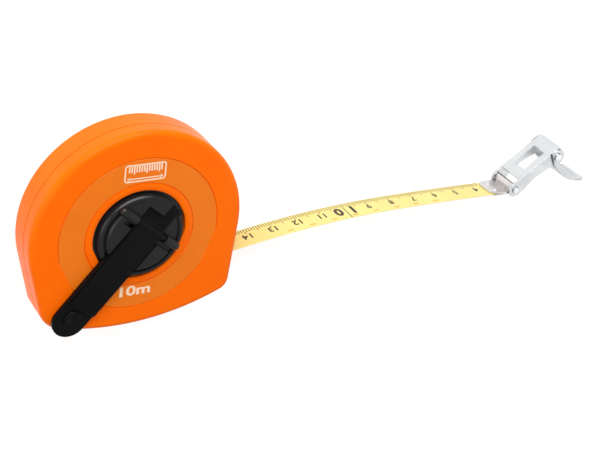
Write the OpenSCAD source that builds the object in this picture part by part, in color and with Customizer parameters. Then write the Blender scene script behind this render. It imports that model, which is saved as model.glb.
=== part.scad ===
// Pocket surveyor's tape reel: 10 m steel tape in a closed two-shell case with a fold-away crank.
// The reel lies on its back. +Z is the reel axis and points out of the crank side, +X is the way
// the tape is pulled out, and the origin is on the reel axis at the back face.

/* [Case] */
// Radius of the round part of the case
case_r = 36.9; // [36.6:0.1:37.4]
// Thickness of the closed case
case_t = 15.2; // [15.2:0.1:16]
// Depth of the front shell, from the front face to the parting line
front_depth = 6.2; // [6:0.1:6.4]
// Wall thickness of the shells
wall = 1.5; // [1.4:0.1:1.6]
// Radius of the rounded edge round each face
edge_r = 2; // [1.4:0.1:2.2]
// Tilt of the flat left side from upright
left_tilt = 12.5; // [10:0.5:14]
// Radius of the bottom left corner
left_corner_r = 10; // [9:0.5:11]
// Radius of the bottom right corner
right_corner_r = 5; // [4:0.5:5.5]
// Radius of the long curve along the bottom
bottom_r = 88; // [86:1:90]

/* [Front face] */
// Radius of the round opening for the winding disc
opening_r = 16.1; // [16:0.1:16.4]
// Inner radius of the printed ring
label_in_r = 19; // [18.8:0.1:19.4]
// Outer radius of the printed ring
label_out_r = 27.6; // [27:0.1:28]
// Thickness of the printed ring
label_t = 0.3; // [0.2:0.05:0.4]

/* [Reel] */
// Radius of the drum that the tape is wound on
core_r = 12; // [11.5:0.1:12.5]
// Outer radius of the wound tape
coil_r = 26.5; // [26:0.1:27]
// Outer radius of the two flanges
flange_r = 29.3; // [28.5:0.1:29.4]
// Thickness of a flange
flange_t = 0.7; // [0.6:0.05:0.75]
// Diameter of the fixed axle
axle_d = 5; // [4.6:0.1:5.4]

/* [Tape] */
// Width of the tape
tape_w = 10; // [9:0.5:10]
// Thickness of the tape
tape_t = 0.2; // [0.15:0.05:0.25]
// Upward slope of the tape at the mouth
mouth_slope = 10.2; // [8.2:0.2:11]

/* [Crank] */
// Direction in which the folded crank points
crank_dir = -129.5; // [-131:0.5:-128]
// Distance from the reel axis to the hinge axis of the lever
hinge_off = 3.8; // [3.6:0.1:4]
// Width of the lever
lever_w = 11.9; // [11:0.1:12]
// Distance from the reel axis to the middle of the finger knob
knob_dist = 35; // [34:0.1:35.5]
// Diameter of the finger knob
knob_d = 5.8; // [5.4:0.1:6]

/* [End fitting] */
// Distance between the two pins of the link
link_len = 21.2; // [20:0.1:22]
// Width of the link over its side walls
link_w = 12; // [11.8:0.1:12.4]
// Upward tilt of the link from the tape at rest
link_tilt = 36.3; // [30:0.1:40]
// Angle of the claw from the link at rest
claw_tilt = -69.5; // [-74:0.5:-64]

/* [Hidden] */
$fn = 72;
eps = 0.05;
press_gap = 0.02;
hole_gap = 0.3;
seat_gap = 0.05;
cut_top = case_t + 9;

// case
part_z = case_t - front_depth;
left_dir = 180 + left_tilt;
right_dir = -3;
bottom_c = [-2.5, bottom_r - 35.4];
screw_at = [[-23.1, 23.1], [23.1, 23.1], [-29.3, -17.2], [29.4, -21.9]];
post_r = 2.3;
back_post_r = 2.8;
screw_d = 2.2;
head_d = 3.6;
head_depth = 1.8;
screw_len = 13;
edge_steps = 6;
slot_h = 2.6;
slot_w = 10.8;
slot_reach = 7;
label_z = case_t - label_t - seat_gap;
label_gap = 0.1;
screw_low = 0.2;
screw_cross = [2.6, 0.5, 1.8];

// reel
inner_floor = wall;
reel_lift = 0.4;
coil_gap = 0.1;
back_flange_z = inner_floor + reel_lift;
coil_z = back_flange_z + flange_t + coil_gap;
front_flange_z = coil_z + tape_w + coil_gap;
tape_mid_z = coil_z + tape_w / 2;
disc_z = front_flange_z + flange_t;
boss_r = 5;
boss_top = 4.2;
axle_low = 0.6;
axle_top = 9.2;
axle_fit = 0.1;
washer_t = 0.3;
washer_r = 8;
spigot_r = 9;
socket_r = 5.1;
socket_depth = 1.8;
drive_pin_r = 1.2;
drive_pin_at = 7.2;
anchor_dir = 200;
anchor_r = 10.7;
anchor_size = [1, 5, 8];
anchor_relief = [3, 6, 10];

// winding disc, seen along the folded crank: x away from the hinge, y across the lever
disc_r = 14.9;
rim_w = 1.5;
rim_chamfer = 0.5;
plateau_r = 12.4;
plateau_chamfer = 0.6;
rim_top = case_t + 1.4;
plateau_top = case_t + 2.4;
low_top = case_t + 0.7;
channel_floor = case_t + 0.2;
hinge_z = case_t + 1.9;
knuckle_r = 1.5;
hinge_pin_d = 1.8;
hinge_fit = 0.05;
hinge_half = 12.4;
hinge_end_gap = 0.1;
lever_low = case_t + 0.5;
lever_top = case_t + 2.8;
tab_top = case_t + 1.6;
tab_end = knob_dist + 1.3;
step_at = knob_dist - 4.4;
knuckle_low_y = -6;
knuckle_high_y = 5;
right_block_y = 7.4;
recess_floor = case_t - 1;
notch_floor = case_t + 0.8;
recess_far = -9.7;
recess_y = [-5, 6];
recess_slot_from = 1.9;
notch_x = [-2.2, -0.5];
side_gap = 0.3;
knob_top = tab_top + 0.6;
knob_seat = tab_top - 0.4;
knob_shank_d = 3;
knob_chamfer = 0.35;
dimple_r = 3.4;
dimple_depth = 0.5;
rivet_d = 1.4;
rivet_head_d = 4.2;
rivet_seat = lever_low + 0.35;
hub_screw_d = 2.6;
hub_screw_head_d = 5;
hub_screw_head_t = 1.3;
hub_screw_cross = [3.2, 0.6, 2];
lever_edge = 0.5;
hub_screw_low = axle_top + 0.6;

// tape path: one arc from the coil to the mouth, then two long flat arcs
wound_r = coil_r + 0.1;
mouth = [36.8, -14.1];
mouth_across = [sin(mouth_slope), -cos(mouth_slope)];
guide_r = (mouth * mouth - wound_r * wound_r) / (2 * (wound_r - mouth * mouth_across));
guide_c = mouth + guide_r * mouth_across;
leave_dir = atan2(guide_c[1], guide_c[0]);
arch_r = 396;
flat_r = 1720;
flat_slope = -1.58;
path_steps = 12;

// end fitting, round the first pin
pin_lead = 5.6;
pin_rise = 1.5;
sheet = 0.8;
clip_len = 10.9;
clip_sheet = 0.45;
tape_half = tape_t / 2 + seat_gap;
clip_w = 10;
clip_corner_r = 3;
barrel_r = 1.7;
link_pin_d = 1.6;
pin_head_d = 2.8;
pin_head_t = 0.6;
claw_pin_head_d = pin_head_d + 0.6;
link_end_r = 3;
window_from = 7.8;
window_to = 18.3;
window_w = 6.4;
web_from = 3.3;
ear_gap = 0.15;
ear_r = 3.2;
claw_w = link_w + 2 * (ear_gap + sheet);
claw_len = 21.8;
claw_tip_r = 2.2;
claw_mid = 9.5;
claw_depth = 4.6;
claw_wall_top = -1.4;
claw_pin_d = 2;
claw_curve_r = 22;
web_start = 4.2;
rivet_x = -7.2;
rivet_z = [-2.4, 2.4];
clip_rivet_d = 1.4;
clip_rivet_head = 0.8;
clip_rivet_rise = 0.35;
side_cut_r = 22;
side_cut_depth = 1.2;

function along(a) = [cos(a), sin(a)];
function arc(c, r, from, to, n) = [for (i = [0 : n]) c + r * along(from + (to - from) * i / n)];

// centre of a corner that blends a flat side into the long bottom curve
function corner_c(dir, r, side) =
    let (n = along(dir), m = side * [-n[1], n[0]], q = (case_r - r) * n - bottom_c, k = m * q)
    (case_r - r) * n + (sqrt(k * k - q * q + (bottom_r - r) * (bottom_r - r)) - k) * m;
function backwards(v) = [for (i = [len(v) - 1 : -1 : 0]) v[i]];
left_c = corner_c(left_dir, left_corner_r, 1);
right_c = corner_c(right_dir, right_corner_r, -1);

// tape centre line
arch_c = mouth + arch_r * mouth_across;
arch_end = arch_c + arch_r * [0, 1];
flat_c = arch_end - flat_r * [0, 1];
flat_end = flat_c + flat_r * along(90 + flat_slope);
pin_at = flat_end + pin_lead * along(flat_slope) + pin_rise * along(90 + flat_slope);
far_at = pin_at + link_len * along(link_tilt);
function tape_line(off) = concat(
    arc(guide_c, guide_r + off, leave_dir + 180, 90 + mouth_slope, path_steps),
    arc(arch_c, arch_r + off, 90 + mouth_slope, 90, path_steps),
    arc(flat_c, flat_r + off, 90, 90 + flat_slope, path_steps));

// case ------------------------------------------------------------------------------------------

// outline of the case, moved inwards by e: round top, left corner, long bottom curve, right corner
function turn_at(c) = atan2(c[1] - bottom_c[1], c[0] - bottom_c[0]);
module outline(e) {
    polygon(concat(
        arc([0, 0], case_r - e, right_dir, left_dir, 40),
        arc(left_c, left_corner_r - e, left_dir, turn_at(left_c) + 360, 8),
        arc(bottom_c, bottom_r - e, turn_at(left_c) + 361, turn_at(right_c) + 359, 12),
        arc(right_c, right_corner_r - e, turn_at(right_c) + 360, 360 + right_dir, 8)));
}

// closed half of the case: its flat face is at z = 0, its parting face at z = h;
// the rounded edge is a stack of thin layers
module half_case(h) {
    for (i = [0 : edge_steps - 1]) {
        a = 90 * (i + 0.5) / edge_steps;
        low = edge_r * (1 - cos(90 * i / edge_steps));
        high = edge_r * (1 - cos(90 * (i + 1) / edge_steps));
        translate([0, 0, low]) linear_extrude(high - low + eps) outline(edge_r * (1 - sin(a)));
    }
    translate([0, 0, edge_r]) linear_extrude(h - edge_r) outline(0);
}

// opening that the tape leaves the case through
module mouth_slot() {
    translate([mouth[0], mouth[1], tape_mid_z]) rotate([0, 0, mouth_slope])
        translate([-slot_reach, -slot_h / 2, -slot_w / 2]) cube([2 * slot_reach, slot_h, slot_w]);
}

module at_crank() {
    rotate([0, 0, crank_dir]) children();
}

module front_shell() {
    color("darkorange") difference() {
        union() {
            difference() {
                translate([0, 0, case_t]) mirror([0, 0, 1]) half_case(front_depth);
                translate([0, 0, part_z - 1]) linear_extrude(case_t - wall - part_z + 1) outline(wall);
            }
            for (p = screw_at)
                translate([p[0], p[1], part_z]) cylinder(r = post_r, h = front_depth - wall / 2);
        }
        translate([0, 0, part_z]) cylinder(r = opening_r, h = front_depth + 1);
        translate([0, 0, label_z]) difference() {
            cylinder(r = label_out_r + label_gap, h = 1);
            translate([0, 0, -1]) cylinder(r = label_in_r - label_gap, h = 3);
        }
        for (p = screw_at)
            translate([p[0], p[1], part_z - 1])
                cylinder(d = screw_d + 2 * press_gap, h = front_depth - 0.6);
        mouth_slot();
    }
}

module back_shell() {
    color("darkorange") difference() {
        union() {
            difference() {
                half_case(part_z);
                translate([0, 0, wall]) linear_extrude(part_z) outline(wall);
            }
            for (p = screw_at) translate([p[0], p[1], wall / 2])
                cylinder(r = back_post_r, h = part_z - wall / 2);
            cylinder(r = boss_r, h = boss_top);
        }
        translate([0, 0, axle_low]) cylinder(d = axle_d + press_gap, h = boss_top);
        for (p = screw_at) translate([p[0], p[1], -1]) {
            cylinder(d = screw_d + hole_gap, h = part_z + 2);
            cylinder(d = head_d + hole_gap, h = head_depth + 1.1);
        }
        mouth_slot();
    }
}

module case_screws() {
    color("silver") for (p = screw_at) translate([p[0], p[1], screw_low]) difference() {
        union() {
            cylinder(d = head_d, h = head_depth - 0.1);
            cylinder(d = screw_d, h = screw_len);
        }
        for (a = [0, 90]) rotate([0, 0, a]) translate([-screw_cross[0] / 2, -screw_cross[1] / 2, -1])
            cube(screw_cross);
    }
}

module printed_ring() {
    color("orange") translate([0, 0, label_z]) difference() {
        cylinder(r = label_out_r, h = label_t);
        translate([0, 0, -1]) cylinder(r = label_in_r, h = 2);
    }
}

// reel ------------------------------------------------------------------------------------------

module axle() {
    color("silver") translate([0, 0, axle_low]) cylinder(d = axle_d, h = axle_top - axle_low);
}

module friction_washer() {
    color("gray") translate([0, 0, inner_floor + seat_gap]) difference() {
        cylinder(r = washer_r, h = washer_t);
        translate([0, 0, -1]) cylinder(r = boss_r + 0.3, h = 2);
    }
}

module anchor_box(gap) {
    rotate([0, 0, anchor_dir])
        translate([anchor_r - gap, -anchor_size[1] / 2 - gap, tape_mid_z - anchor_size[2] / 2 - gap])
            cube(anchor_size + 2 * gap * [1, 1, 1]);
}

module drum() {
    color("dimgray") difference() {
        union() {
            translate([0, 0, back_flange_z]) cylinder(r = flange_r, h = flange_t);
            translate([0, 0, back_flange_z]) cylinder(r = core_r, h = front_flange_z - back_flange_z);
            translate([0, 0, front_flange_z - eps]) cylinder(r = spigot_r, h = flange_t + eps);
        }
        translate([0, 0, back_flange_z - 1]) cylinder(r = boss_r + 0.4, h = boss_top - back_flange_z + 1.4);
        cylinder(d = axle_d + 2 * axle_fit, h = axle_top + 0.3);
        cylinder(d = hub_screw_d + 2 * press_gap, h = case_t);
        translate([0, 0, disc_z - socket_depth]) cylinder(r = socket_r, h = 3);
        at_crank() for (y = [-drive_pin_at, drive_pin_at])
            translate([0, y, disc_z - socket_depth]) cylinder(r = drive_pin_r + seat_gap, h = 3);
        anchor_box(seat_gap);
        rotate([0, 0, anchor_dir])
            translate([anchor_r + 0.9, -anchor_relief[1] / 2, tape_mid_z - anchor_relief[2] / 2])
            cube(anchor_relief);
    }
}

module front_flange() {
    color("dimgray") translate([0, 0, front_flange_z]) difference() {
        cylinder(r = flange_r, h = flange_t);
        translate([0, 0, -1]) cylinder(r = spigot_r + press_gap, h = 3);
    }
}

module tape_coil() {
    color("gold") translate([0, 0, coil_z]) difference() {
        cylinder(r = coil_r, h = tape_w);
        translate([0, 0, -1]) cylinder(r = core_r + seat_gap, h = tape_w + 2);
    }
}

module tape_anchor() {
    color("silver") anchor_box(0);
}

// winding disc and crank --------------------------------------------------------------------------

// block from x0 to x1 along the crank, y0 to y1 across it and z0 to z1
module block(x, y, z) {
    translate([x[0], y[0], z[0]]) cube([x[1] - x[0], y[1] - y[0], z[1] - z[0]]);
}

// round bar along the hinge axis, from y0 to y1
module hinge_bar(r, y0, y1) {
    translate([-hinge_off, y0, hinge_z]) rotate([-90, 0, 0]) cylinder(r = r, h = y1 - y0);
}

module disc_body() {
    translate([0, 0, disc_z]) cylinder(r = disc_r, h = low_top - disc_z);
    translate([0, 0, disc_z - socket_depth + 0.1]) cylinder(r = boss_r, h = socket_depth);
    for (y = [-drive_pin_at, drive_pin_at])
        translate([0, y, disc_z - socket_depth + 0.3]) cylinder(r = drive_pin_r, h = socket_depth);
    intersection() {
        union() {
            cylinder(r = plateau_r, h = plateau_top - plateau_chamfer);
            translate([0, 0, plateau_top - plateau_chamfer])
                cylinder(r1 = plateau_r, r2 = plateau_r - plateau_chamfer, h = plateau_chamfer);
        }
        block([-hinge_off, disc_r], [-disc_r, disc_r], [disc_z, plateau_top]);
    }
    difference() {
        union() {
            translate([0, 0, disc_z]) cylinder(r = disc_r, h = rim_top - rim_chamfer - disc_z);
            translate([0, 0, rim_top - rim_chamfer])
                cylinder(r1 = disc_r, r2 = disc_r - rim_chamfer, h = rim_chamfer);
        }
        translate([0, 0, disc_z - 1]) cylinder(r = disc_r - rim_w, h = rim_top);
    }
    for (y = [[-hinge_half, knuckle_low_y - side_gap], [right_block_y, hinge_half]]) {
        hinge_bar(knuckle_r, y[0], y[1]);
        block([-hinge_off - knuckle_r, -hinge_off + knuckle_r], y, [case_t, hinge_z]);
    }
    for (y = [-hinge_half, hinge_half])
        translate([-hinge_off, y, hinge_z]) sphere(r = knuckle_r);
}

module winding_disc() {
    color("#222222") at_crank() difference() {
        disc_body();
        block([-hinge_off, disc_r + 1], (lever_w / 2 + side_gap) * [-1, 1], [channel_floor, cut_top]);
        block([-disc_r - 1, -hinge_off - knuckle_r], (lever_w / 2 + side_gap) * [-1, 1],
            [low_top, cut_top]);
        hinge_bar(knuckle_r + side_gap, knuckle_low_y - side_gap, right_block_y);
        block([-hinge_off - knuckle_r - side_gap, -hinge_off + knuckle_r + side_gap],
            [knuckle_low_y - side_gap, right_block_y], [hinge_z, cut_top]);
        block([recess_far, -hinge_off - knuckle_r], recess_y, [recess_floor, cut_top]);
        block([-disc_r - 1, recess_far + 0.1], [recess_slot_from, recess_y[1]], [recess_floor, cut_top]);
        block(notch_x, [-10, -lever_w / 2], [notch_floor, cut_top]);
        block([notch_x[0], notch_x[1] - 0.2], [lever_w / 2, 12.5], [notch_floor, cut_top]);
        hinge_bar(hinge_pin_d / 2 + press_gap, -hinge_half, hinge_half);
        translate([0, 0, disc_z - 5]) cylinder(d = hub_screw_d + hole_gap, h = 10);
        translate([0, 0, channel_floor - hub_screw_head_t]) cylinder(d = hub_screw_head_d + 0.2, h = 5);
    }
}

module hub_screw() {
    color("silver") difference() {
        union() {
            translate([0, 0, hub_screw_low])
                cylinder(d = hub_screw_d, h = channel_floor - hub_screw_head_t - hub_screw_low + eps);
            translate([0, 0, channel_floor - hub_screw_head_t]) cylinder(d = hub_screw_head_d, h = 1.2);
        }
        for (a = [0, 90]) rotate([0, 0, a])
            translate([-hub_screw_cross[0] / 2, -hub_screw_cross[1] / 2, channel_floor - 0.8])
                cube(hub_screw_cross);
    }
}

module hinge_pin() {
    color("#333333") at_crank() hinge_bar(hinge_pin_d / 2, -hinge_half + hinge_end_gap,
        hinge_half - hinge_end_gap);
}

module crank_lever() {
    color("#222222") at_crank() difference() {
        union() {
            hinge_bar(knuckle_r, knuckle_low_y, knuckle_high_y);
            block([-hinge_off, step_at], lever_w / 2 * [-1, 1], [lever_low, lever_top - lever_edge]);
            block([-hinge_off, step_at], (lever_w / 2 - lever_edge) * [-1, 1], [lever_low, lever_top]);
            block([step_at - eps, tab_end], lever_w / 2 * [-1, 1], [lever_low, tab_top]);
            translate([tab_end, 0, lever_low]) cylinder(d = lever_w, h = tab_top - lever_low);
        }
        block([-hinge_off - 5, -hinge_off + 4], [knuckle_high_y, 9], [lever_low - 1, lever_top + 1]);
        hinge_bar(hinge_pin_d / 2 + hinge_fit, -9, 9);
        translate([knob_dist, 0, lever_low - 1]) {
            cylinder(d = knob_shank_d + 2 * hinge_fit, h = 5);
            cylinder(d = rivet_head_d + 0.4, h = rivet_seat - lever_low + 1);
        }
        translate([knob_dist, 0, knob_seat]) cylinder(d = knob_d + hole_gap, h = 5);
    }
}

module knob() {
    color("#222222") at_crank() translate([knob_dist, 0, 0]) difference() {
        union() {
            translate([0, 0, knob_seat + seat_gap])
                cylinder(d = knob_d, h = knob_top - knob_seat - knob_chamfer);
            translate([0, 0, knob_top - knob_chamfer])
                cylinder(d1 = knob_d, d2 = knob_d - 2 * knob_chamfer, h = knob_chamfer);
            translate([0, 0, rivet_seat]) cylinder(d = knob_shank_d, h = knob_seat - rivet_seat + 0.1);
        }
        translate([0, 0, rivet_seat - 1]) cylinder(d = rivet_d + press_gap, h = 1.5);
        translate([0, 0, knob_top + dimple_r - dimple_depth]) sphere(r = dimple_r);
    }
}

module knob_rivet() {
    color("silver") at_crank() translate([knob_dist, 0, 0]) {
        translate([0, 0, lever_low + seat_gap])
            cylinder(d = rivet_head_d, h = rivet_seat - lever_low - seat_gap);
        translate([0, 0, lever_low + seat_gap]) cylinder(d = rivet_d, h = rivet_seat - lever_low + 0.4);
    }
}

// tape and end fitting ------------------------------------------------------------------------------

module tape_blade() {
    color("khaki") difference() {
        translate([0, 0, coil_z]) linear_extrude(tape_w)
            polygon(concat(tape_line(-tape_t / 2), backwards(tape_line(tape_t / 2))));
        at_clip() clip_rivet_holes();
    }
}

// places its children at the first pin, x along the end of the tape, z = 0 in the middle of the tape
module at_clip() {
    translate([pin_at[0], pin_at[1], tape_mid_z]) rotate([0, 0, flat_slope]) children();
}

module at_link() {
    translate([pin_at[0], pin_at[1], tape_mid_z]) rotate([0, 0, link_tilt]) children();
}

module at_claw() {
    translate([far_at[0], far_at[1], tape_mid_z]) rotate([0, 0, link_tilt + claw_tilt]) children();
}

// pair of equal plates lying across z, each t thick, with their outer faces w apart
module plate_pair(w, t) {
    for (z = [-w / 2, w / 2 - t]) translate([0, 0, z]) linear_extrude(t) children();
}

// outline of the clip seen from above the tape, x along the tape
module clip_outline() {
    hull() {
        translate([-barrel_r - 0.5, -clip_w / 2]) square([0.5, clip_w]);
        for (z = [-1, 1]) translate([-clip_len + clip_corner_r, z * (clip_w / 2 - clip_corner_r)])
            circle(r = clip_corner_r, $fn = 32);
    }
}

module end_clip() {
    color("silver") at_clip() difference() {
        union() {
            for (y = [-pin_rise + tape_half, -pin_rise - tape_half - clip_sheet])
                translate([0, y + clip_sheet, 0]) rotate([90, 0, 0])
                    linear_extrude(clip_sheet) clip_outline();
            translate([0, 0, -clip_w / 2]) cylinder(r = barrel_r, h = clip_w);
            block([-pin_lead + seat_gap, 0], (tape_half + clip_sheet) * [-1, 1] - pin_rise * [1, 1],
                clip_w / 2 * [-1, 1]);
        }
        translate([0, 0, -clip_w]) cylinder(d = link_pin_d + press_gap, h = 2 * clip_w);
        clip_rivet_holes();
    }
}

module clip_rivet_holes() {
    for (z = rivet_z) translate([rivet_x, -pin_rise, z]) rotate([90, 0, 0])
        cylinder(d = clip_rivet_d + press_gap, h = 2, center = true);
}

module clip_rivets() {
    color("white") at_clip() for (z = rivet_z) translate([rivet_x, -pin_rise, z]) rotate([90, 0, 0]) {
        cylinder(d = clip_rivet_d, h = 2 * (tape_half + clip_sheet), center = true);
        for (m = [0, 1]) mirror([0, 0, m]) translate([0, 0, tape_half + clip_sheet])
            cylinder(d1 = clip_rivet_d + clip_rivet_head, d2 = clip_rivet_d, h = clip_rivet_rise);
    }
}

// pin along z with a head at each end, w long under its heads
module headed_pin(d, head, w) {
    cylinder(d = d, h = w + pin_head_t, center = true);
    for (m = [0, 1]) mirror([0, 0, m]) translate([0, 0, w / 2 + 0.02]) cylinder(d = head, h = pin_head_t);
}

module link_pin() {
    color("silver") at_link() headed_pin(link_pin_d, pin_head_d, link_w);
}

module link_side() {
    difference() {
        union() {
            circle(r = link_end_r);
            translate([link_len, 0]) circle(r = link_end_r);
            translate([0, -link_end_r]) square([link_len, 2 * link_end_r]);
            translate([link_len, 0]) square([link_end_r, link_end_r]);
        }
        translate([link_len / 2, -link_end_r - side_cut_r + side_cut_depth])
            circle(r = side_cut_r, $fn = 120);
    }
}

module link() {
    color("silver") at_link() difference() {
        union() {
            plate_pair(link_w, sheet) link_side();
            block([web_from, link_len + link_end_r], [link_end_r - sheet, link_end_r],
                link_w / 2 * [-1, 1]);
        }
        block([window_from, window_to], [0, 9], window_w / 2 * [-1, 1]);
        translate([0, 0, -link_w]) cylinder(d = link_pin_d + 0.1, h = 2 * link_w);
        translate([link_len, 0, -link_w]) cylinder(d = claw_pin_d + press_gap, h = 2 * link_w);
    }
}

module claw_pin() {
    color("silver") at_link() translate([link_len, 0, 0]) headed_pin(claw_pin_d, claw_pin_head_d, claw_w);
}

// side of the claw: a round ear, then a low wall that ends where the plate turns up to the edge
module claw_side() {
    intersection() {
        union() {
            circle(r = ear_r);
            polygon([[-1.5, -claw_depth], [16.5, -claw_depth], [17.5, -2.6], [15, claw_wall_top + 0.2],
                [3.4, claw_wall_top], [2, 1]]);
        }
        translate([claw_mid, claw_curve_r - claw_depth]) circle(r = claw_curve_r, $fn = 120);
    }
}

module claw() {
    color("silver") at_claw() difference() {
        union() {
            plate_pair(claw_w, sheet) claw_side();
            intersection() {
                translate([claw_mid, claw_curve_r - claw_depth, -claw_w / 2]) difference() {
                    cylinder(r = claw_curve_r, h = claw_w, $fn = 120);
                    translate([0, 0, -1]) cylinder(r = claw_curve_r - sheet, h = claw_w + 2, $fn = 120);
                }
                claw_plan();
            }
        }
        translate([0, 0, -claw_w]) cylinder(d = claw_pin_d + 0.1, h = 2 * claw_w);
    }
}

// plan of the claw's plate: full width, with round corners at its edge
module claw_plan() {
    rotate([90, 0, 0]) translate([0, 0, -9]) linear_extrude(18) {
        translate([web_start, -claw_w / 2]) square([claw_len - claw_tip_r - web_start, claw_w]);
        translate([web_start, -claw_w / 2 + claw_tip_r])
            square([claw_len - web_start, claw_w - 2 * claw_tip_r]);
        for (z = [-1, 1]) translate([claw_len - claw_tip_r, z * (claw_w / 2 - claw_tip_r)])
            circle(r = claw_tip_r, $fn = 32);
    }
}

front_shell();
back_shell();
case_screws();
printed_ring();
axle();
friction_washer();
drum();
front_flange();
tape_coil();
tape_anchor();
winding_disc();
hub_screw();
hinge_pin();
crank_lever();
knob();
knob_rivet();
tape_blade();
end_clip();
clip_rivets();
link_pin();
link();
claw_pin();
claw();
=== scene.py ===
import math

import bmesh
import bpy
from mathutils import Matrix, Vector


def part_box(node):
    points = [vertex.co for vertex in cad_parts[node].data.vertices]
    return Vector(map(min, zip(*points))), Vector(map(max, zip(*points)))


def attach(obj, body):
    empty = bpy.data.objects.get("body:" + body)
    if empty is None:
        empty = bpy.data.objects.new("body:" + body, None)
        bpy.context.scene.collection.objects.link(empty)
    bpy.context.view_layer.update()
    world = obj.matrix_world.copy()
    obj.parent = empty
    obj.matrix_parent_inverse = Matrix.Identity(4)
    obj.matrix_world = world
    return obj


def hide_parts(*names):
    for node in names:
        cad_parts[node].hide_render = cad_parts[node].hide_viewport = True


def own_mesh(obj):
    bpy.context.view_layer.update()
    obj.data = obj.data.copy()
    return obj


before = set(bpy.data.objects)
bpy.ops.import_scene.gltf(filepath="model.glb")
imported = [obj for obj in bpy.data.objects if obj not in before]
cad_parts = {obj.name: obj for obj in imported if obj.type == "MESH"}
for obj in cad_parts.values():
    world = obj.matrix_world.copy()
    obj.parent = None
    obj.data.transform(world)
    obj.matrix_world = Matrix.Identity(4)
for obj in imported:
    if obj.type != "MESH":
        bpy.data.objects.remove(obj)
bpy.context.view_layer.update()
MM = 0.001

# ---- sizes read from the frame, in millimetres ---------------------------------------------------


def box_mm(node):
    low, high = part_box(node)
    return low / MM, high / MM


FRONT_LOW, FRONT_HIGH = box_mm("front_shell")
CASE_T = FRONT_HIGH.z
PART_Z = FRONT_LOW.z
CASE_R = box_mm("back_shell")[1].y
RING_LOW, RING_HIGH = box_mm("printed_ring")
RING_OUT = RING_HIGH.x
COIL_LOW, COIL_HIGH = box_mm("tape_coil")
COIL_R = COIL_HIGH.x
TAPE_LOW, TAPE_HIGH = COIL_LOW.z, COIL_HIGH.z
TAPE_MID = (TAPE_LOW + TAPE_HIGH) / 2

# ---- sizes of the design that the frame doesn't state, in millimetres ----------------------------

WALL = 1.5
EDGE_R = 2.0
LEFT_DIR, RIGHT_DIR = math.radians(192.5), math.radians(-3)
LEFT_CORNER_R, RIGHT_CORNER_R = 10.0, 5.0
BOTTOM_R = 88.0
BOTTOM_C = Vector((-2.5, BOTTOM_R - 35.4))
OPENING_R = 16.1
RING_IN = 19.0
RING_DEPTH = 0.35
RING_GAP = 0.24
MOUTH = Vector((36.8, -14.1))
MOUTH_SLOPE = math.radians(10.2)
SLOT_H, SLOT_W, SLOT_CORNER_R = 2.6, 10.8, 0.5
SLOT_REACH, SLOT_FLARE_FROM, SLOT_FLARE = 7, -0.9, 0.5
ARCH_R, FLAT_R, FLAT_SLOPE = 396.0, 1720.0, math.radians(-1.58)
TAPE_T = 0.2
CIRCLE_POINTS = 256

# edges that turn by more than these angles, in degrees, are rounded or shaded sharp
BEVEL_ANGLE, SHARP_ANGLE, SHELL_SHARP_ANGLE = 30, 40, 30


def along(angle):
    return Vector((math.cos(angle), math.sin(angle)))


# ---- meshes --------------------------------------------------------------------------------------


def to_object(bm, name, body, mats, sharp=35):
    """Turns a bmesh in millimetres into a piece in metres that rides on a body."""
    bmesh.ops.recalc_face_normals(bm, faces=bm.faces)
    for face in bm.faces:
        face.smooth = True
    for edge in bm.edges:
        if len(edge.link_faces) == 2 and edge.calc_face_angle(0) > math.radians(sharp):
            edge.smooth = False
    bmesh.ops.scale(bm, vec=(MM, MM, MM), verts=bm.verts)
    mesh = bpy.data.meshes.new(name)
    bm.to_mesh(mesh)
    bm.free()
    obj = bpy.data.objects.new(name, mesh)
    bpy.context.scene.collection.objects.link(obj)
    for mat in mats:
        mesh.materials.append(mat)
    if body:
        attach(obj, body)
    return obj


def loft(bm, loops, closed=False, cap_first=False, cap_last=False):
    """Skins rings of points that all have the same count; closed joins the last ring to the first."""
    rings = [[bm.verts.new(p) for p in loop] for loop in loops]
    following = rings[1:] + rings[:1] if closed else rings[1:]
    for a, b in zip(rings, following):
        count = len(a)
        for i in range(count):
            k = (i + 1) % count
            bm.faces.new((a[i], a[k], b[k], b[i]))
    for cap, ring in ((cap_first, rings[0]), (cap_last, rings[-1])):
        if cap:
            centre = bm.verts.new(sum((v.co for v in ring), Vector()) / len(ring))
            for i, v in enumerate(ring):
                bm.faces.new((v, ring[(i + 1) % len(ring)], centre))


def apply_modifiers(obj):
    """Keeps the result of the modifiers as the object's own mesh."""
    graph = bpy.context.evaluated_depsgraph_get()
    mesh = bpy.data.meshes.new_from_object(obj.evaluated_get(graph))
    obj.modifiers.clear()
    obj.data = mesh


def cut(obj, cutter):
    """Cuts the closed mesh cutter out of obj and deletes it."""
    mod = obj.modifiers.new("cut", "BOOLEAN")
    mod.operation = "DIFFERENCE"
    mod.solver = "EXACT"
    mod.object = cutter
    apply_modifiers(obj)
    bpy.data.objects.remove(cutter)


def smooth_by_angle(obj, sharp):
    """Shades the faces smooth and keeps the edges that turn by more than sharp degrees."""
    bm = bmesh.new()
    bm.from_mesh(obj.data)
    for face in bm.faces:
        face.smooth = True
    for edge in bm.edges:
        inner = len(edge.link_faces) == 2
        edge.smooth = not (inner and edge.calc_face_angle(0) > math.radians(sharp))
    bm.to_mesh(obj.data)
    bm.free()


def circle_points(r, centre=(0, 0), count=CIRCLE_POINTS):
    return [Vector(centre) + r * along(2 * math.pi * i / count) for i in range(count)]


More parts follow.
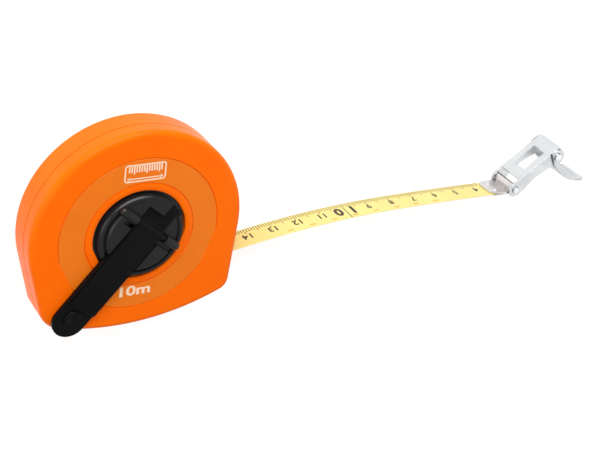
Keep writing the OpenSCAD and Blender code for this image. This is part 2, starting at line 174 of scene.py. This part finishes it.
def rounded(node, body, mat, width, segments=3):
    """Copy of a CAD node with its edges rounded, which replaces it."""
    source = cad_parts[node]
    bm = bmesh.new()
    bm.from_mesh(source.data)
    bm.transform(source.matrix_world)
    bmesh.ops.remove_doubles(bm, verts=bm.verts, dist=1e-6)
    bmesh.ops.dissolve_limit(bm, angle_limit=math.radians(2), verts=bm.verts, edges=bm.edges)
    mesh = bpy.data.meshes.new(node)
    bm.to_mesh(mesh)
    bm.free()
    obj = bpy.data.objects.new(node + "_rounded", mesh)
    bpy.context.scene.collection.objects.link(obj)
    bevel = obj.modifiers.new("round", "BEVEL")
    bevel.width = width * MM
    bevel.segments = segments
    bevel.limit_method = "ANGLE"
    bevel.angle_limit = math.radians(BEVEL_ANGLE)
    bevel.use_clamp_overlap = True
    bevel.harden_normals = False
    apply_modifiers(obj)
    smooth_by_angle(obj, SHARP_ANGLE)
    flat = obj.modifiers.new("flat", "WEIGHTED_NORMAL")
    flat.keep_sharp = True
    apply_modifiers(obj)
    obj.data.materials.clear()
    obj.data.materials.append(mat)
    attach(obj, body)
    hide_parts(node)


# ---- materials -----------------------------------------------------------------------------------


def srgb(r, g, b):
    """Linear colour from 0 to 255 screen values."""
    screen = (r / 255, g / 255, b / 255)
    linear = tuple(c / 12.92 if c <= 0.04045 else ((c + 0.055) / 1.055) ** 2.4 for c in screen)
    return linear + (1.0,)


class Shader:
    """A principled material with small helpers that add nodes to it."""

    def __init__(self, name, metallic=0.0, coat=0.0, coat_rough=0.1, ior=1.5):
        self.mat = bpy.data.materials.new(name)
        self.mat.use_nodes = True
        self.tree = self.mat.node_tree
        self.bsdf = self.tree.nodes["Principled BSDF"]
        self.coords = self.tree.nodes.new("ShaderNodeTexCoord").outputs["Object"]
        self.set("Metallic", metallic)
        self.set("Coat Weight", coat)
        self.set("Coat Roughness", coat_rough)
        self.set("IOR", ior)

    def set(self, socket, value):
        self.bsdf.inputs[socket].default_value = value

    def link(self, out, into):
        self.tree.links.new(out, into)
        return self

    def place(self, stretch):
        """Object coordinates, stretched along each axis."""
        node = self.tree.nodes.new("ShaderNodeMapping")
        node.inputs["Scale"].default_value = stretch
        self.link(self.coords, node.inputs["Vector"])
        return node.outputs["Vector"]

    def noise(self, per_metre, detail=3, vector=None):
        """Cloudy value with some cells per metre."""
        node = self.tree.nodes.new("ShaderNodeTexNoise")
        node.inputs["Scale"].default_value = per_metre
        node.inputs["Detail"].default_value = detail
        self.link(vector or self.coords, node.inputs["Vector"])
        return node.outputs["Fac"]

    def spread(self, value, low, high, from_low=0.3, from_high=0.7):
        """Value carried over from one range to another, and held at its ends."""
        node = self.tree.nodes.new("ShaderNodeMapRange")
        limits = {"From Min": from_low, "From Max": from_high, "To Min": low, "To Max": high}
        for socket, limit in limits.items():
            node.inputs[socket].default_value = limit
        self.link(value, node.inputs["Value"])
        return node.outputs["Result"]

    def mix(self, value, a, b):
        """Colour from a to b as value goes from 0 to 1; each is a colour or a socket."""
        node = self.tree.nodes.new("ShaderNodeMix")
        node.data_type = "RGBA"
        for socket, colour in (("A_Color", a), ("B_Color", b)):
            into = next(s for s in node.inputs if s.identifier == socket)
            if isinstance(colour, tuple):
                into.default_value = colour
            else:
                self.link(colour, into)
        self.link(value, next(s for s in node.inputs if s.identifier == "Factor_Float"))
        return next(s for s in node.outputs if s.identifier == "Result_Color")

    def colour(self, out):
        return self.link(out, self.bsdf.inputs["Base Color"])

    def rough(self, out):
        return self.link(out, self.bsdf.inputs["Roughness"])

    def bump(self, out, height):
        node = self.tree.nodes.new("ShaderNodeBump")
        node.inputs["Distance"].default_value = height * MM
        self.link(out, node.inputs["Height"])
        self.link(node.outputs["Normal"], self.bsdf.inputs["Normal"])
        return self


# sizes of the noise in the finishes, in cells per metre
CLOUD, GLOSS = 90, 450
STAIN, DULL_PATCH, ROLL_LINE = 130, 420, 260
FLAT_SHEET, TURNED_PIN = (1, 9, 9), (5, 5, 1)


def plastic(name, light, dark, rough, grain, depth, specular=0.5, ior=1.5):
    """Moulded plastic: cloudy colour, uneven gloss and a fine grain that is depth mm deep."""
    s = Shader(name, ior=ior)
    s.set("Specular IOR Level", specular)
    s.colour(s.mix(s.spread(s.noise(CLOUD), 0, 1), light, dark))
    s.rough(s.spread(s.noise(GLOSS), *rough))
    return s.bump(s.noise(grain, 2), depth).mat


def brushed(name, light, dark, rough, depth, stretch=FLAT_SHEET):
    """Plated metal with fine lines, depth mm deep, and duller patches."""
    s = Shader(name, metallic=1.0)
    lines = s.noise(ROLL_LINE, 4, s.place(stretch))
    s.colour(s.mix(s.spread(s.noise(STAIN), 0, 1), light, dark))
    s.rough(s.spread(s.noise(DULL_PATCH, 4), *rough))
    return s.bump(lines, depth).mat


case_mat = plastic("case_plastic", srgb(255, 111, 0), srgb(255, 105, 0),
                   rough=(0.28, 0.36), grain=2600, depth=0.0015, specular=0.25, ior=1.27)
ring_mat = plastic("ring_face", srgb(240, 122, 20), srgb(236, 116, 16),
                   rough=(0.42, 0.52), grain=2200, depth=0.003, specular=0.2)
cream_ink = plastic("cream_ink", srgb(255, 224, 196), srgb(252, 214, 184),
                    rough=(0.5, 0.6), grain=1800, depth=0.003)
black_mat = plastic("black_plastic", srgb(17, 17, 18), srgb(11, 11, 12),
                    rough=(0.30, 0.42), grain=3000, depth=0.005, specular=0.1)
drum_mat = plastic("drum_plastic", srgb(52, 52, 54), srgb(42, 42, 44),
                   rough=(0.45, 0.58), grain=2400, depth=0.010)
black_ink = plastic("black_ink", srgb(34, 28, 6), srgb(46, 38, 8),
                    rough=(0.45, 0.55), grain=3000, depth=0.001)
amber_ink = plastic("amber_ink", srgb(226, 150, 50), srgb(216, 138, 42),
                    rough=(0.45, 0.55), grain=3000, depth=0.001)
steel_mat = brushed("fitting_steel", srgb(211, 213, 214), srgb(200, 202, 204),
                    rough=(0.3, 0.4), depth=0.006)
clip_mat = brushed("clip_steel", srgb(214, 210, 208), srgb(201, 198, 197),
                   rough=(0.28, 0.4), depth=0.006)
pin_mat = brushed("pin_steel", srgb(226, 227, 230), srgb(204, 206, 210),
                  rough=(0.18, 0.30), depth=0.004, stretch=TURNED_PIN)
dark_pin_mat = brushed("black_steel", srgb(52, 52, 54), srgb(40, 40, 42),
                       rough=(0.35, 0.48), depth=0.004, stretch=TURNED_PIN)


def tape_finish():
    """Yellow lacquer over steel, a little uneven, duller where it has rubbed."""
    s = Shader("tape_lacquer", coat=0.35, coat_rough=0.18)
    s.colour(s.mix(s.spread(s.noise(60, 4), 0, 1), srgb(222, 203, 118), srgb(214, 192, 104)))
    s.rough(s.spread(s.noise(500, 4, s.place((1, 6, 1))), 0.34, 0.46))
    return s.bump(s.noise(900, 3, s.place((1, 8, 8))), 0.003).mat


def coil_finish():
    """Edges of the wound tape: many thin turns, yellow with dark gaps."""
    s = Shader("tape_turns")
    wave = s.tree.nodes.new("ShaderNodeTexWave")
    wave.wave_type = "RINGS"
    wave.rings_direction = "Z"
    wave.inputs["Scale"].default_value = 780
    wave.inputs["Distortion"].default_value = 0.6
    wave.inputs["Detail"].default_value = 2
    s.link(s.coords, wave.inputs["Vector"])
    s.colour(s.mix(wave.outputs["Fac"], srgb(150, 132, 70), srgb(246, 224, 136)))
    s.rough(s.spread(s.noise(500), 0.4, 0.55))
    return s.bump(wave.outputs["Fac"], 0.05).mat


def disc_finish():
    """Black nylon, satin on its upper faces and matt in its pockets, with the pockets coloured near black
    as painted shade.
    """
    s = Shader("black_disc")
    s.set("Specular IOR Level", 0.38)
    height = s.tree.nodes.new("ShaderNodeSeparateXYZ")
    s.link(s.coords, height.inputs["Vector"])
    pocket_z, raised_z = (CASE_T - 0.2) * MM, (CASE_T + 0.5) * MM
    # height mask, 0 in the pockets and 1 on the higher faces; it sets the gloss and the painted shade of
    # the pockets
    raised_vs_pocket_shade = s.spread(height.outputs["Z"], 0, 1, pocket_z, raised_z)
    cloud = s.mix(s.spread(s.noise(CLOUD), 0, 1), srgb(30, 30, 31), srgb(23, 23, 24))
    # painted shade: the pockets are coloured near black, srgb(1, 1, 1), darker than the nylon, where shade
    # falls into the recesses
    s.colour(s.mix(raised_vs_pocket_shade, srgb(1, 1, 1), cloud))
    matt, satin = 0.9, 0.28
    gloss = s.spread(s.noise(GLOSS), 0.0, 0.08)
    total = s.tree.nodes.new("ShaderNodeMath")
    total.operation = "ADD"
    s.link(s.spread(raised_vs_pocket_shade, matt, satin, 0, 1), total.inputs[0])
    s.link(gloss, total.inputs[1])
    s.rough(total.outputs["Value"])
    return s.bump(s.noise(3000, 2), 0.005).mat


tape_mat = tape_finish()
disc_mat = disc_finish()
coil_mat = coil_finish()


# ---- case ----------------------------------------------------------------------------------------


def corner(direction, r, side):
    """Centre of a corner of radius r that blends a flat side into the long curve of the bottom."""
    outward = along(direction)
    down = side * Vector((-outward.y, outward.x))
    start = (CASE_R - r) * outward
    gap = start - BOTTOM_C
    lean = down.dot(gap)
    return start + (math.sqrt(lean * lean - gap.dot(gap) + (BOTTOM_R - r) ** 2) - lean) * down


LEFT_C = corner(LEFT_DIR, LEFT_CORNER_R, 1)
RIGHT_C = corner(RIGHT_DIR, RIGHT_CORNER_R, -1)
FULL = 2 * math.pi


def turn_at(c):
    """Direction of a corner's centre, seen from the centre of the bottom's curve."""
    return math.atan2(c.y - BOTTOM_C.y, c.x - BOTTOM_C.x) + FULL


def outline_steps():
    """(centre, radius, angle) of each point round the case: top, left corner, bottom, right corner."""
    # centre, radius, first and last direction, number of points
    arcs = (
        (Vector((0, 0)), CASE_R, RIGHT_DIR, LEFT_DIR, 150),
        (LEFT_C, LEFT_CORNER_R, LEFT_DIR, turn_at(LEFT_C), 24),
        (BOTTOM_C, BOTTOM_R, turn_at(LEFT_C), turn_at(RIGHT_C), 60),
        (RIGHT_C, RIGHT_CORNER_R, turn_at(RIGHT_C), FULL + RIGHT_DIR, 22),
    )
    return [(c, r, a + (b - a) * i / n) for c, r, a, b, n in arcs for i in range(n)]


STEPS = outline_steps()


def outline(inset, z):
    """Outline of the case at height z, moved in by inset."""
    return [(c + (r - inset) * along(a)).to_3d() + Vector((0, 0, z)) for c, r, a in STEPS]


def ring_of(r, z):
    """Circle whose points face those of the outline."""
    return [(r * p.xy.normalized()).to_3d() + Vector((0, 0, z)) for p in outline(EDGE_R, 0)]


EDGE_STEPS = 9


def edge_loops(face_z, up):
    """Rounded edge from the side wall to the face; up is 1 at the front and -1 at the back."""
    quarter = [math.pi / 2 * i / EDGE_STEPS for i in range(EDGE_STEPS + 1)]
    return [outline(EDGE_R * (1 - math.cos(a)), face_z - up * EDGE_R * (1 - math.sin(a))) for a in quarter]


# HOLD is the width of the strips that keep the shading flat beside an eased edge
SEAM_GAP, SEAM_EDGE, SEAM_DEPTH, HOLD = 0.15, 0.22, 1.3, 0.15
GROOVE_EASE_W, GROOVE_EASE_H = 0.12, 0.06
OPENING_EASE, OPENING_EASE_MID = 0.5, 0.15
HOLE_GAP, HEAD_EASE, SHOULDER_GAP = 0.15, 0.3, 0.1
SCREWS = [Vector((-23.1, 23.1)), Vector((23.1, 23.1)), Vector((-29.3, -17.2)), Vector((29.4, -21.9))]
SCREW_D, HEAD_D, HEAD_DEPTH = 2.2, 3.6, 1.8


def round_rectangle(half_w, half_h, r, steps):
    """Outline of a rectangle with round corners, each with steps + 1 points."""
    points = []
    for side_x, side_y, start in ((1, 1, 0), (-1, 1, 90), (-1, -1, 180), (1, -1, 270)):
        for i in range(steps + 1):
            turn = math.radians(start + 90 * i / steps)
            x = side_x * (half_w - r) + r * math.cos(turn)
            y = side_y * (half_h - r) + r * math.sin(turn)
            points.append((x, y))
    return points


def mouth_cutter():
    """Round-cornered slot that the tape leaves by, flared on the outside of the case."""
    outward = along(MOUTH_SLOPE)
    sideways = Vector((-outward.y, outward.x))
    bm = bmesh.new()
    loops = []
    for x, grow in ((-SLOT_REACH, 0), (SLOT_FLARE_FROM, 0), (SLOT_REACH, SLOT_FLARE)):
        section = round_rectangle(SLOT_H / 2 + grow, SLOT_W / 2 + grow, SLOT_CORNER_R, 4)
        at = MOUTH + outward * x
        loops.append([(at + sideways * y).to_3d() + Vector((0, 0, TAPE_MID + z)) for y, z in section])
    loft(bm, loops, cap_first=True, cap_last=True)
    return to_object(bm, "mouth_cutter", None, [])


def seam_loops(up):
    """Narrow groove with eased edges that shows where the shells meet."""
    return [outline(e, PART_Z + up * z) for e, z in (
        (SEAM_DEPTH, SEAM_GAP), (SEAM_GAP, SEAM_GAP), (0, SEAM_EDGE), (0, SEAM_EDGE + HOLD))]


def make_front_shell():
    bm = bmesh.new()
    groove = RING_OUT + RING_GAP
    loops = [outline(SEAM_DEPTH, PART_Z)] + seam_loops(1) + [outline(0, CASE_T - EDGE_R - HOLD)]
    loops += edge_loops(CASE_T, 1)
    loops += [
        outline(EDGE_R + HOLD, CASE_T),
        ring_of(groove + GROOVE_EASE_W + HOLD, CASE_T),
        ring_of(groove + GROOVE_EASE_W, CASE_T),
        ring_of(groove, CASE_T - GROOVE_EASE_H),
        ring_of(groove, CASE_T - RING_DEPTH),
        ring_of(RING_IN - RING_GAP, CASE_T - RING_DEPTH),
        ring_of(RING_IN - RING_GAP, CASE_T - GROOVE_EASE_H),
        ring_of(RING_IN - RING_GAP - GROOVE_EASE_W, CASE_T),
        ring_of(OPENING_R + OPENING_EASE, CASE_T),
        ring_of(OPENING_R + OPENING_EASE_MID, CASE_T - OPENING_EASE_MID),
        ring_of(OPENING_R, CASE_T - OPENING_EASE),
        ring_of(OPENING_R, CASE_T - WALL),
        outline(WALL, CASE_T - WALL),
        outline(WALL, PART_Z),
    ]
    loft(bm, loops, closed=True)
    obj = to_object(bm, "front_shell_moulded", "case", [case_mat], sharp=SHELL_SHARP_ANGLE)
    cut(obj, mouth_cutter())
    smooth_by_angle(obj, SHELL_SHARP_ANGLE)
    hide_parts("front_shell")


def make_back_shell():
    bm = bmesh.new()
    loops = [outline(WALL, WALL), outline(WALL, PART_Z), outline(SEAM_DEPTH, PART_Z)] + seam_loops(-1)
    loops += [outline(0, EDGE_R + HOLD)] + edge_loops(0, -1) + [outline(EDGE_R + HOLD, 0)]
    loft(bm, loops, cap_first=True, cap_last=True)
    obj = to_object(bm, "back_shell_moulded", "case", [case_mat], sharp=SHELL_SHARP_ANGLE)
    head_r, shank_r = HEAD_D / 2 + HOLE_GAP, SCREW_D / 2 + HOLE_GAP
    shoulder_z = HEAD_DEPTH + SHOULDER_GAP
    profile = ((head_r + HEAD_EASE, -1), (head_r + HEAD_EASE, -0.001), (head_r, HEAD_EASE),
               (head_r, shoulder_z), (shank_r, shoulder_z), (shank_r, PART_Z + 1))
    for i, centre in enumerate(SCREWS):
        bm = bmesh.new()
        loops = [[p.to_3d() + Vector((0, 0, z)) for p in circle_points(r, centre, 48)] for r, z in profile]
        loft(bm, loops, cap_first=True, cap_last=True)
        cut(obj, to_object(bm, f"screw_cutter_{i}", None, []))
    cut(obj, mouth_cutter())
    smooth_by_angle(obj, SHELL_SHARP_ANGLE)
    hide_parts("back_shell")


make_front_shell()
make_back_shell()
rounded("case_screws", "case", pin_mat, 0.12, 2)


# ---- printed ring --------------------------------------------------------------------------------


def lettering(text, height, width=None, weight=0.0):
    """Closed mesh of some text, centred on the origin, height tall and 1 thick, in millimetres."""
    curve = bpy.data.curves.new("letters", "FONT")
    curve.body = text
    curve.extrude = 0.5
    curve.offset = weight
    curve.resolution_u = 4
    holder = bpy.data.objects.new("letters", curve)
    bpy.context.scene.collection.objects.link(holder)
    graph = bpy.context.evaluated_depsgraph_get()
    mesh = bpy.data.meshes.new_from_object(holder.evaluated_get(graph))
    bpy.data.objects.remove(holder)
    bm = bmesh.new()
    bm.from_mesh(mesh)
    bpy.data.meshes.remove(mesh)
    bmesh.ops.remove_doubles(bm, verts=bm.verts, dist=1e-5)
    low = Vector([min(v.co[i] for v in bm.verts) for i in range(3)])
    high = Vector([max(v.co[i] for v in bm.verts) for i in range(3)])
    scale = height / (high.y - low.y)
    across = width / (high.x - low.x) if width else scale
    middle = (low + high) / 2
    for v in bm.verts:
        v.co = Vector(((v.co.x - middle.x) * across, (v.co.y - middle.y) * scale, v.co.z - middle.z))
    return bm


def add_bmesh(bm, other, place, mat_index):
    """Copies other into bm with every point moved by place."""
    made = {v: bm.verts.new(place(v.co)) for v in other.verts}
    for face in other.faces:
        bm.faces.new([made[v] for v in face.verts]).material_index = mat_index
    other.free()


def prism(points):
    """Closed block 1 thick with the given outline, centred on z = 0."""
    bm = bmesh.new()
    loft(bm, [[Vector((x, y, z)) for x, y in points] for z in (-0.5, 0.5)], cap_first=True, cap_last=True)
    return bm


def slab(x0, x1, y0, y1):
    """Closed rectangular block 1 thick, centred on z = 0."""
    return prism([(x0, y0), (x1, y0), (x1, y1), (x0, y1)])


INK_T = 0.03
RING_EASE = 0.08
MOTIF_Y, LENGTH_Y = 22.9, -21.3


def add_border(bm, half_w, half_h, line, place):
    """Round-cornered frame of the motif, line wide."""
    outer = round_rectangle(half_w, half_h, 1.1, 3)
    inner = round_rectangle(half_w - line, half_h - line, 0.6, 3)
    border = bmesh.new()
    sides = ((outer, -0.5), (outer, 0.5), (inner, 0.5), (inner, -0.5))
    loft(border, [[Vector((x, y, z)) for x, y in side] for side, z in sides], closed=True)
    add_bmesh(bm, border, place, 1)


def add_teeth(bm, half_w, top, place):
    """Comb of ruler teeth that hang from the top of the frame, every fifth one longer."""
    teeth, gap, end_gap, overlap = 14, 0.34, 0.7, 0.05
    span = 2 * (half_w - end_gap)
    for i in range(teeth):
        x = -span / 2 + span * i / teeth
        tooth = 2.9 if i % 5 == 2 else 2.3
        block = slab(x + gap / 2, x + span / teeth - gap / 2, top - tooth, top + overlap)
        add_bmesh(bm, block, place, 1)


def add_arrow(bm, place):
    """Line under the teeth with an arrow head at each end."""
    middle, half_line, half_head = -1.95, 0.2, 0.7
    line_end, head_from, tip = 5.4, 5.1, 6.3
    add_bmesh(bm, slab(-line_end, line_end, middle - half_line, middle + half_line), place, 1)
    for side in (-1, 1):
        foot = side * head_from
        head = [(side * tip, middle), (foot, middle + half_head), (foot, middle - half_head)]
        add_bmesh(bm, prism(head), place, 1)


def make_printed_ring():
    top, low = RING_HIGH.z, RING_LOW.z
    bm = bmesh.new()
    profile = ((RING_IN, low), (RING_OUT, low), (RING_OUT, top - RING_EASE), (RING_OUT - RING_EASE, top),
               (RING_IN + RING_EASE, top), (RING_IN, top - RING_EASE))
    loft(bm, [[p.to_3d() + Vector((0, 0, z)) for p in circle_points(r)] for r, z in profile], closed=True)

    def on_ring(y):
        return lambda co: Vector((co.x, co.y + y, top + co.z * INK_T))

    half_w, half_h, line = 7.15, 3.15, 0.5
    add_border(bm, half_w, half_h, line, on_ring(MOTIF_Y))
    add_teeth(bm, half_w - line, half_h - line, on_ring(MOTIF_Y))
    add_arrow(bm, on_ring(MOTIF_Y))
    add_bmesh(bm, lettering("10m", 3.9, 11.0, weight=0.03), on_ring(LENGTH_Y), 1)
    obj = to_object(bm, "printed_ring_face", "case", [ring_mat, cream_ink])
    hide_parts("printed_ring")


make_printed_ring()


# ---- winding disc and crank ----------------------------------------------------------------------

rounded("winding_disc", "reel", disc_mat, 0.28)
rounded("hub_screw", "reel", pin_mat, 0.12, 2)
rounded("hinge_pin", "reel", dark_pin_mat, 0.15, 2)
rounded("crank_lever", "crank", black_mat, 0.35)
rounded("knob", "finger_knob", black_mat, 0.2)
rounded("knob_rivet", "finger_knob", pin_mat, 0.12, 2)


# ---- tape ----------------------------------------------------------------------------------------

ACROSS = Vector((math.sin(MOUTH_SLOPE), -math.cos(MOUTH_SLOPE)))
WOUND_R = COIL_R + 0.1
GUIDE_R = (MOUTH.dot(MOUTH) - WOUND_R**2) / (2 * (WOUND_R - MOUTH.dot(ACROSS)))
GUIDE_C = MOUTH + GUIDE_R * ACROSS
GUIDE_TURN = math.pi + math.atan2(GUIDE_C.y, GUIDE_C.x) - (math.pi / 2 + MOUTH_SLOPE)
ARCH_C = MOUTH + ARCH_R * ACROSS
FLAT_C = ARCH_C + Vector((0, ARCH_R - FLAT_R))
ARCH_LEN = ARCH_R * MOUTH_SLOPE
TAPE_END = ARCH_LEN - FLAT_R * FLAT_SLOPE
UP = math.pi / 2


def on_tape(s, off, z):
    """Point of the tape s along it from the mouth, off above its middle and at height z."""
    if s < 0:
        c, r, a = GUIDE_C, GUIDE_R, UP + MOUTH_SLOPE - s / GUIDE_R
    elif s < ARCH_LEN:
        c, r, a = ARCH_C, ARCH_R, UP + MOUTH_SLOPE - s / ARCH_R
    else:
        c, r, a = FLAT_C, FLAT_R, UP - (s - ARCH_LEN) / FLAT_R
    return (c + (r + off) * along(a)).to_3d() + Vector((0, 0, z))


def strip(bm, start, end, step):
    """Stretch of blank tape from start to end, with eased edges."""
    count = max(2, round((end - start) / step))
    half, edge = TAPE_T / 2, 0.06
    section = (
        (-half, TAPE_LOW + edge), (-half + edge, TAPE_LOW),
        (half - edge, TAPE_LOW), (half, TAPE_LOW + edge),
        (half, TAPE_HIGH - edge), (half - edge, TAPE_HIGH),
        (-half + edge, TAPE_HIGH), (-half, TAPE_HIGH - edge),
    )
    places = [start + (end - start) * i / count for i in range(count + 1)]
    loops = [[on_tape(s, off, z) for off, z in section] for s in places]
    loft(bm, loops, cap_first=True, cap_last=True)


# place of the scale's zero along the tape, the printed marks and centimetre numbers, and the hidden join
ZERO_AT = 148.8
FIRST_MM, LAST_MM = 37, 151
FIRST_CM, LAST_CM = 4, 14
TAPE_JOIN = -3.0
FREE_STEP, LEAD_STEP = 1.0, 0.8
NUMBER_MIDDLE = 5.0


def mark(bm, s, length, width, start=0.0, ink=1):
    """Thin line across the tape from the scale edge."""
    tick = slab(-width / 2, width / 2, start, length)
    add_bmesh(bm, tick, lambda co: on_tape(s + co.x, TAPE_T / 2 + co.z * INK_T, TAPE_LOW + co.y), ink)


def mark_size(mm):
    """Length and width of the mark at a number of millimetres."""
    for every, size in ((100, (9.85, 0.36)), (10, (3.4, 0.3)), (5, (3.3, 0.28))):
        if mm % every == 0:
            return size
    return 2.3, 0.28


def digit_style(cm):
    """Spacing, height and weight of the digits of a centimetre number; 10 is the largest."""
    if cm == 10:
        return 6.0, 5.0, 0.045
    return (2.2, 3.0, 0.03) if cm > 10 else (0, 2.9, 0.025)


def digit(bm, s, text, height, weight):
    """Digit that reads from the clip to the case, with its foot towards the scale edge."""
    def place(co):
        return on_tape(s - co.x, TAPE_T / 2 + co.z * INK_T, TAPE_LOW + NUMBER_MIDDLE + co.y)

    add_bmesh(bm, lettering(text, height, weight=weight), place, 1)


def print_scale(bm):
    """Millimetre marks, centimetre numbers and plain amber dashes where small print would be."""
    for mm in range(FIRST_MM, LAST_MM):
        mark(bm, ZERO_AT - mm, *mark_size(mm), 0.15)
    for cm in range(FIRST_CM, LAST_CM + 1):
        spacing, height, weight = digit_style(cm)
        text = str(cm)
        for i, character in enumerate(text):
            shift = spacing * ((len(text) - 1) / 2 - i)
            digit(bm, ZERO_AT - 10 * cm + shift, character, height, weight)
    dashes, first_dash, dash_pitch, dash_length = 8, 24, 9, 2.4
    for i in range(dashes):
        mark(bm, first_dash + dash_pitch * i, 8.7, dash_length, 8.1, ink=2)


def make_tape():
    bm = bmesh.new()
    strip(bm, TAPE_JOIN, TAPE_END, FREE_STEP)
    print_scale(bm)
    obj = to_object(bm, "tape_printed", "tape", [tape_mat, black_ink, amber_ink])
    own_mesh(obj)
    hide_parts("tape_blade")
    lead = bmesh.new()
    strip(lead, -GUIDE_R * GUIDE_TURN, TAPE_JOIN, LEAD_STEP)
    to_object(lead, "tape_lead_in", "case", [tape_mat])


make_tape()


# ---- end fitting ---------------------------------------------------------------------------------

rounded("end_clip", "tape", clip_mat, 0.1, 2)
rounded("clip_rivets", "tape", pin_mat, 0.22)
rounded("link_pin", "tape", pin_mat, 0.25)
rounded("link", "link", steel_mat, 0.22)
rounded("claw_pin", "link", pin_mat, 0.25)
rounded("claw", "claw", steel_mat, 0.22)


# ---- CAD nodes that stay as they are -------------------------------------------------------------


def paint(node, mat):
    """Gives a CAD node the finish of its piece, whether it is shown or replaced."""
    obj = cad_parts[node]
    obj.data.materials.clear()
    obj.data.materials.append(mat)


for node, mat in (
    ("front_shell", case_mat), ("back_shell", case_mat), ("printed_ring", ring_mat),
    ("case_screws", pin_mat), ("axle", pin_mat), ("friction_washer", pin_mat),
    ("drum", drum_mat), ("front_flange", drum_mat),
    ("tape_coil", coil_mat), ("tape_anchor", pin_mat), ("winding_disc", disc_mat), ("hub_screw", pin_mat),
    ("hinge_pin", dark_pin_mat), ("crank_lever", black_mat), ("knob", black_mat), ("knob_rivet", pin_mat),
    ("tape_blade", tape_mat), ("end_clip", clip_mat), ("clip_rivets", pin_mat), ("link_pin", pin_mat),
    ("link", steel_mat), ("claw_pin", pin_mat), ("claw", steel_mat),
):
    paint(node, mat)


# ---- camera, light and floor ---------------------------------------------------------------------

# the photo's viewpoint, in metres and degrees
CAMERA_AT = (-0.154358, 0.206985, 0.329667)
CAMERA_TURN = (-34.154, -29.541, 9.306)
scene = bpy.context.scene
lens = bpy.data.cameras.new("camera")
lens.lens = 75
lens.sensor_width = 36
lens.clip_start, lens.clip_end = 0.01, 20
camera = bpy.data.objects.new("camera", lens)
camera.location = CAMERA_AT
camera.rotation_euler = [math.radians(a) for a in CAMERA_TURN]
scene.collection.objects.link(camera)
scene.camera = camera


def floor():
    """Plain pale floor just under the back of the case."""
    half, top, thick = 1500.0, -0.15, 5.0
    corners = [(-half, -half), (half, -half), (half, half), (-half, half)]
    bm = bmesh.new()
    loops = [[Vector((x, y, z)) for x, y in corners] for z in (top - thick, top)]
    loft(bm, loops, cap_first=True, cap_last=True)
    s = Shader("floor")
    s.colour(s.mix(s.spread(s.noise(3), 0, 1), (0.52, 0.52, 0.52, 1), (0.5, 0.5, 0.5, 1)))
    s.set("Emission Color", (1, 1, 1, 1))
    s.set("Emission Strength", 0.72)
    s.rough(s.spread(s.noise(40), 0.7, 0.8))
    to_object(bm, "floor", None, [s.mat])


floor()


def softbox(name, at, aim, size, power):
    """Rectangular white area light of some watts that points from at to aim, in metres."""
    data = bpy.data.lights.new(name, "AREA")
    data.shape = "RECTANGLE"
    data.size, data.size_y = size
    data.energy = power
    obj = bpy.data.objects.new(name, data)
    obj.location = at
    obj.rotation_euler = (Vector(aim) - Vector(at)).to_track_quat("-Z", "Y").to_euler()
    scene.collection.objects.link(obj)


TARGET, FITTING = (0.05, 0, 0.008), (0.16, 0, 0.008)
softbox("key_above", (-0.05, 0.75, 0.45), TARGET, (0.9, 0.5), 8.0)
softbox("front", (-0.35, -0.1, 0.9), TARGET, (0.7, 0.7), 0.7)
softbox("left", (-0.8, 0.1, 0.35), TARGET, (0.4, 0.6), 1.4)
softbox("far_end", (0.7, -0.32, 0.51), FITTING, (0.45, 0.45), 0.7)

world = bpy.data.worlds.new("world")
world.use_nodes = True
world.node_tree.nodes["Background"].inputs["Color"].default_value = (1, 1, 1, 1)
world.node_tree.nodes["Background"].inputs["Strength"].default_value = 0.38
scene.world = world
scene.view_settings.view_transform = "Standard"
scene.view_settings.look = "None"
